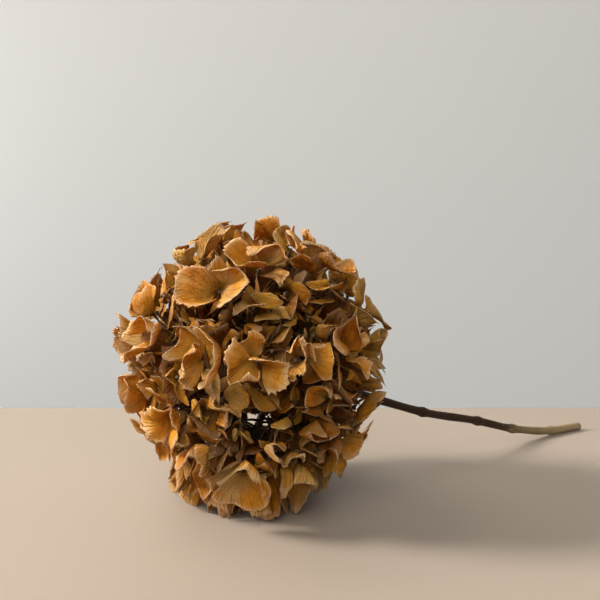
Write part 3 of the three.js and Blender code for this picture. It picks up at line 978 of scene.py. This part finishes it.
# What each of these adds to a sepal's tone
SEPAL_SHARE = 0.42
FLORET_SHARE = 0.30
PATCH_SHARE = 0.85
MOTTLE_SHARE = 0.70
REACH_SHARE = 0.35
TONE_OFFSET = 0.84

# Scale and detail of the sepals' noises
PATCHES = (70, 2)
MOTTLE = (260, 4, 0.6)
FADING = (48, 3)
GRAIN = (900, 3)

# Masks: the value where each one starts, the value where it is full, and its greatest share
HAY_MASK = (0.75, 1.4, 0.6)
FADED_MASK = (0.48, 0.68, 0.65)
CLAW_MASK = (0.45, -0.1, 0.85)
VEIN_MASK = (0.1, 0.0)
RIM_CREAM_AND_HIGHLIGHT_MASK = (0.84, 1.12, 0.55)
RIB_MASK = (0.2, 0.8)

# How much the noises shift those masks
HAY_PATCHES = 0.8
CLAW_PATCHES = -0.3
RIM_MOTTLE = 0.12

# Veins and ribs: how many lie across half a sepal, how they wobble, and the relief of all
VEINS = 4.5
RIBS = 13
VEIN_WOBBLE = 0.55
VEIN_SHIFT = -0.28
VEIN_DARKNESS = 0.2
VEIN_HEIGHT = -0.5
MOTTLE_HEIGHT = 1.8
RIB_HEIGHT = 0.8
TRANSLUCENCE = 0.3
AMBER_SHARE = 0.5


def sepal_material():
    """Papery dried sepal: golden ochre, mottled, with dark veins, a pale margin that is partly
    painted highlight, and painted shade on florets deep in the head.
    """
    material = new_material("dried_sepal")
    side, reach, tone, bloom, dark = (attribute(material, name) for name in MARKS)
    patches = noise(material, *PATCHES)
    mottle = noise(material, *MOTTLE)
    shade = add_up(
        material,
        -TONE_OFFSET,
        (tone, SEPAL_SHARE),
        (bloom, FLORET_SHARE),
        (patches, PATCH_SHARE),
        (mottle, MOTTLE_SHARE),
        (reach, REACH_SHARE),
    )
    # Veins fan out from the claw, with finer ribs between them that show only in the relief
    wobble = add_up(material, VEIN_SHIFT, (mottle, VEIN_WOBBLE))
    vein = math_node(material, "PINGPONG", add_up(material, wobble, (side, VEINS)), 0.5)
    vein = mask(material, vein, *VEIN_MASK)
    ribs = math_node(material, "PINGPONG", add_up(material, wobble, (side, RIBS)), 0.5)
    ribs = math_node(material, "MULTIPLY", ribs, mask(material, reach, *RIB_MASK))
    # Laid over the tones: hay and faded patches, olive at the claw, dark veins, a pale margin that
    # is partly painted highlight, and painted shade on florets deep in the head
    colour = ramp(material, shade, SEPAL_TONES)
    for share, over in (
        (mask(material, add_up(material, bloom, (patches, HAY_PATCHES)), *HAY_MASK), HAY),
        (mask(material, noise(material, *FADING), *FADED_MASK), FADED),
        (mask(material, add_up(material, reach, (patches, CLAW_PATCHES)), *CLAW_MASK), OLIVE),
        (math_node(material, "MULTIPLY", vein, VEIN_DARKNESS), DEEP),
        (mask(material, add_up(material, reach, (mottle, RIM_MOTTLE)), *RIM_CREAM_AND_HIGHLIGHT_MASK), MARGIN_CREAM_AND_HIGHLIGHT),
        (dark, PAINTED_SHADE_BROWN),
    ):
        colour = mix(material, share, colour, over)
    heights = ((vein, VEIN_HEIGHT), (mottle, MOTTLE_HEIGHT), (ribs, RIB_HEIGHT))
    height = add_up(material, noise(material, *GRAIN), *heights)
    relief = relief_of(material, height, strength=0.8, distance=0.0008)
    paper = dull_surface(material, colour, roughness=0.72, specular=0.11, relief=relief)
    glow = mix(material, AMBER_SHARE, colour, AMBER)
    through = add_node(material, "BsdfTranslucent", {"Color": glow, "Normal": relief}).outputs[0]
    both = add_node(material, "MixShader", {0: TRANSLUCENCE, 1: paper, 2: through})
    set_surface(material, both.outputs[0])
    return material


STALK_TONES = [
    (0.30, (0.030, 0.014, 0.006)),
    (0.55, (0.070, 0.036, 0.014)),
    (0.80, (0.160, 0.095, 0.036)),
]
STALK_STREAKS = (320, 4)


def stalk_material():
    """Dry pedicels: brown, finely streaked."""
    material = new_material("dry_stalk")
    streaks = noise(material, *STALK_STREAKS)
    colour = ramp(material, streaks, STALK_TONES)
    relief = relief_of(material, streaks, strength=0.4, distance=0.0003)
    stalk = dull_surface(material, colour, roughness=0.7, specular=0.5, relief=relief)
    set_surface(material, stalk)
    return material


# Bark from the cut end to the head: olive tan up to the second node, then dark brown
BARK_TONES = [
    (0.22, (0.270, 0.195, 0.105)),
    (0.40, (0.180, 0.130, 0.065)),
    (0.46, (0.034, 0.017, 0.006)),
    (1.00, (0.022, 0.010, 0.004)),
]
BARK_BLOTCHES = (120, 3)
BLOTCH_SHARE = 0.2
FIBRE_SHARE = 0.15
FIBRE_SCALE = 900
FIBRE_STRETCH = (0.12, 1, 1)


def bark_material():
    """Woody stem: dark brown near the head, olive tan towards the cut end, finely ridged."""
    material = new_material("woody_bark")
    along = attribute(material, "along")
    place = add_node(material, "TexCoord").outputs["Object"]
    stretched = add_node(material, "Mapping", {"Vector": place, "Scale": FIBRE_STRETCH}).outputs[0]
    inputs = {"Vector": stretched, "Scale": FIBRE_SCALE, "Detail": 4}
    fibres = add_node(material, "TexNoise", inputs).outputs["Fac"]
    blotches = noise(material, *BARK_BLOTCHES)
    shade = add_up(material, along, (blotches, BLOTCH_SHARE), (fibres, FIBRE_SHARE))
    colour = ramp(material, shade, BARK_TONES)
    relief = relief_of(material, fibres, strength=0.6, distance=0.0004)
    bark = dull_surface(material, colour, roughness=0.6, specular=0.25, relief=relief)
    set_surface(material, bark)
    return material


def plain_material(name, colour, roughness):
    """A material for the stage."""
    material = new_material(name)
    inputs = {"Base Color": opaque(colour), "Roughness": roughness}
    set_surface(material, add_node(material, "BsdfPrincipled", inputs).outputs[0])
    return material


# --- Stage ---


def stage_point(distance, aside=0, height=0):
    """A place ahead of the camera, at a height above the surface."""
    foot = np.array([*CAMERA_PLACE[:2], height])
    return foot + FORWARD * distance + RIGHT * aside


def before_backdrop(aside, out, height):
    """A place in front of the backdrop."""
    return stage_point(BACKDROP_DISTANCE - out, aside, height)


def stage_plane(name, centre, across, up, size, material):
    """A rectangle of the stage: its middle, its two directions and its size along them."""
    bm = bmesh.new()
    made = bmesh.ops.create_grid(bm, x_segments=1, y_segments=1, size=0.5)["verts"]
    for vert in made:
        vert.co = centre + across * vert.co.x * size[0] + up * vert.co.y * size[1]
    piece = finish_piece(bm, name, material)


def make_stage():
    """A surface that ends behind the head, and a backdrop beyond it."""
    middle = stage_point(FLOOR_EDGE) - FORWARD * FLOOR_SIZE[1] / 2
    floor = plain_material("pale_floor", FLOOR_COLOUR, 0.6)
    stage_plane("floor", middle, RIGHT, FORWARD, FLOOR_SIZE, floor)
    wall = plain_material("pale_backdrop", BACKDROP_COLOUR, 0.9)
    stage_plane("backdrop", stage_point(BACKDROP_DISTANCE), RIGHT, UP, BACKDROP_SIZE, wall)


def make_camera():
    """The camera, level apart from its pitch."""
    data = bpy.data.cameras.new("camera")
    data.lens = CAMERA_LENS
    data.sensor_fit = "HORIZONTAL"
    data.sensor_width = CAMERA_SENSOR
    camera = bpy.data.objects.new("camera", data)
    camera.location = CAMERA_PLACE
    camera.rotation_euler = (math.radians(90) + CAMERA_PITCH, 0, CAMERA_HEADING)
    bpy.context.scene.collection.objects.link(camera)
    bpy.context.scene.camera = camera


def area_light(name, place, target, size, power, colour, spread):
    """A square light that looks from one place at another, in metres."""
    data = bpy.data.lights.new(name, "AREA")
    data.size = size
    data.energy = power
    data.color = colour
    data.spread = math.radians(spread)
    light = bpy.data.objects.new(name, data)
    light.location = place
    light.rotation_mode = "QUATERNION"
    light.rotation_quaternion = Vector(target - place).to_track_quat("-Z", "Y")
    bpy.context.scene.collection.objects.link(light)


def make_lights():
    """Three soft lights round the head, one on the backdrop and a pale surrounding."""
    head = CENTRE * MM
    for name, (toward, *light) in LIGHTS.items():
        area_light(name, head + unit(toward) * LIGHT_DISTANCE, head, *light)
    place, target = before_backdrop(*WASH_PLACE), before_backdrop(*WASH_TARGET)
    area_light("wall_wash", place, target, *WASH)
    world = bpy.data.worlds.new("room")
    world.use_nodes = True
    background = world.node_tree.nodes["Background"]
    background.inputs["Color"].default_value = WORLD_COLOUR
    background.inputs["Strength"].default_value = WORLD_STRENGTH
    bpy.context.scene.world = world
    bpy.context.scene.view_settings.view_transform = "Standard"


# --- The part ---


def spiral(i, count, turn):
    """The direction of one of count places spread evenly over the head."""
    return direction(even_angle(i, count, ADDED_BARE_FROM), i * GOLDEN_ANGLE + turn)


def added_floret(toward, depth, size, lift, detail):
    """A floret that only the fine model has."""
    floret = SimpleNamespace(toward=toward, is_outer=False, is_rest=False, proud=0)
    floret.depth = -depth + detail(-ADDED_JITTER, ADDED_JITTER)
    floret.lean = detail(0, ADDED_LEAN)
    floret.lean_turn = detail(0, FULL_TURN)
    floret.spin = detail(0, FULL_TURN)
    floret.sepals = make_sepals(detail)
    place_floret(floret)
    draw_details(floret, detail)
    for sepal in floret.sepals:
        sepal.length *= size
        sepal.lift = detail(*lift)
        sepal.curl *= ADDED_CURL
        sepal.cup *= ADDED_CURL
    return floret


def make_gap_florets(florets, detail):
    """Florets a little below the outer ones, each in the widest gap that is left."""
    made = []
    taken = [floret.toward for floret in florets]
    candidates = [spiral(i, GAP_CANDIDATES, GAP_START) for i in range(GAP_CANDIDATES)]
    for _ in range(GAP_FLORETS):
        closest = (np.array(candidates) @ np.array(taken).T).max(axis=1)
        toward = candidates[int(closest.argmin())]
        taken.append(toward)
        made.append(added_floret(toward, GAP_DEPTH, GAP_SIZE, GAP_LIFT, detail))
    return made


def make_inner_florets(detail):
    """Smaller florets in the dark below the others."""
    places = [spiral(i, INNER_FLORETS, INNER_START) for i in range(INNER_FLORETS)]
    return [added_floret(toward, INNER_DEPTH, INNER_SIZE, INNER_LIFT, detail) for toward in places]


def place_piece(piece, slot, *nodes):
    """Puts a piece in place of the part's nodes and hides them; the slot is not used."""
    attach(piece, "root")
    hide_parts(*nodes)


def make_layer(florets, rows, columns, dark):
    """Florets of one fineness and one share of painted shade, without those in the opening through
    the head.
    """
    kept = [floret for floret in florets if np.linalg.norm(off_opening(floret)) > OPENING_RADIUS]
    return SimpleNamespace(florets=kept, rows=rows, columns=columns, dark=dark)


def make_layers(detail, florets):
    """The outer florets, those in their gaps and the inner ones, each with what keeps it clear."""
    for floret in florets:
        draw_details(floret, detail)
    florets = florets + [
        added_floret(unit(toward), depth, GAP_SIZE, GAP_LIFT, detail)
        for toward, depth in EXTRA_FLORETS
    ]
    outer = make_layer(florets, ROWS, COLUMNS, 0.0)
    gaps = make_layer(make_gap_florets(florets, detail), GAP_ROWS, GAP_COLUMNS, GAP_PAINTED_SHADE)
    inner = make_layer(make_inner_florets(detail), INNER_ROWS, INNER_COLUMNS, INNER_PAINTED_SHADE)
    outer.neighbours = gaps.neighbours = outer.florets + gaps.florets
    inner.neighbours = inner.florets
    return [outer, gaps, inner]


def make_hydrangea():
    """Each spray becomes its sepals and its stalks, and the stem its bark."""
    random = make_random(SEED)
    sprays = make_sprays(random)
    florets = make_florets(random)
    for layer in make_layers(make_random(DETAIL_SEED), florets):
        for floret in layer.florets:
            floret.layer = layer
            nearest(sprays, floret.toward).florets.append(floret)
    sepals, stalks = sepal_material(), stalk_material()
    place_piece(make_stem_piece(sprays, bark_material()), "stem", "stem")
    for number, spray in enumerate(sprays, 1):
        node = f"spray_{number:02d}"
        place_piece(make_sepal_piece(node + "_sepals", spray, sepals), "florets", node)
        place_piece(make_stalk_piece(node + "_stalks", spray, stalks), "stem", node)


make_camera()
make_stage()
make_lights()
make_hydrangea()
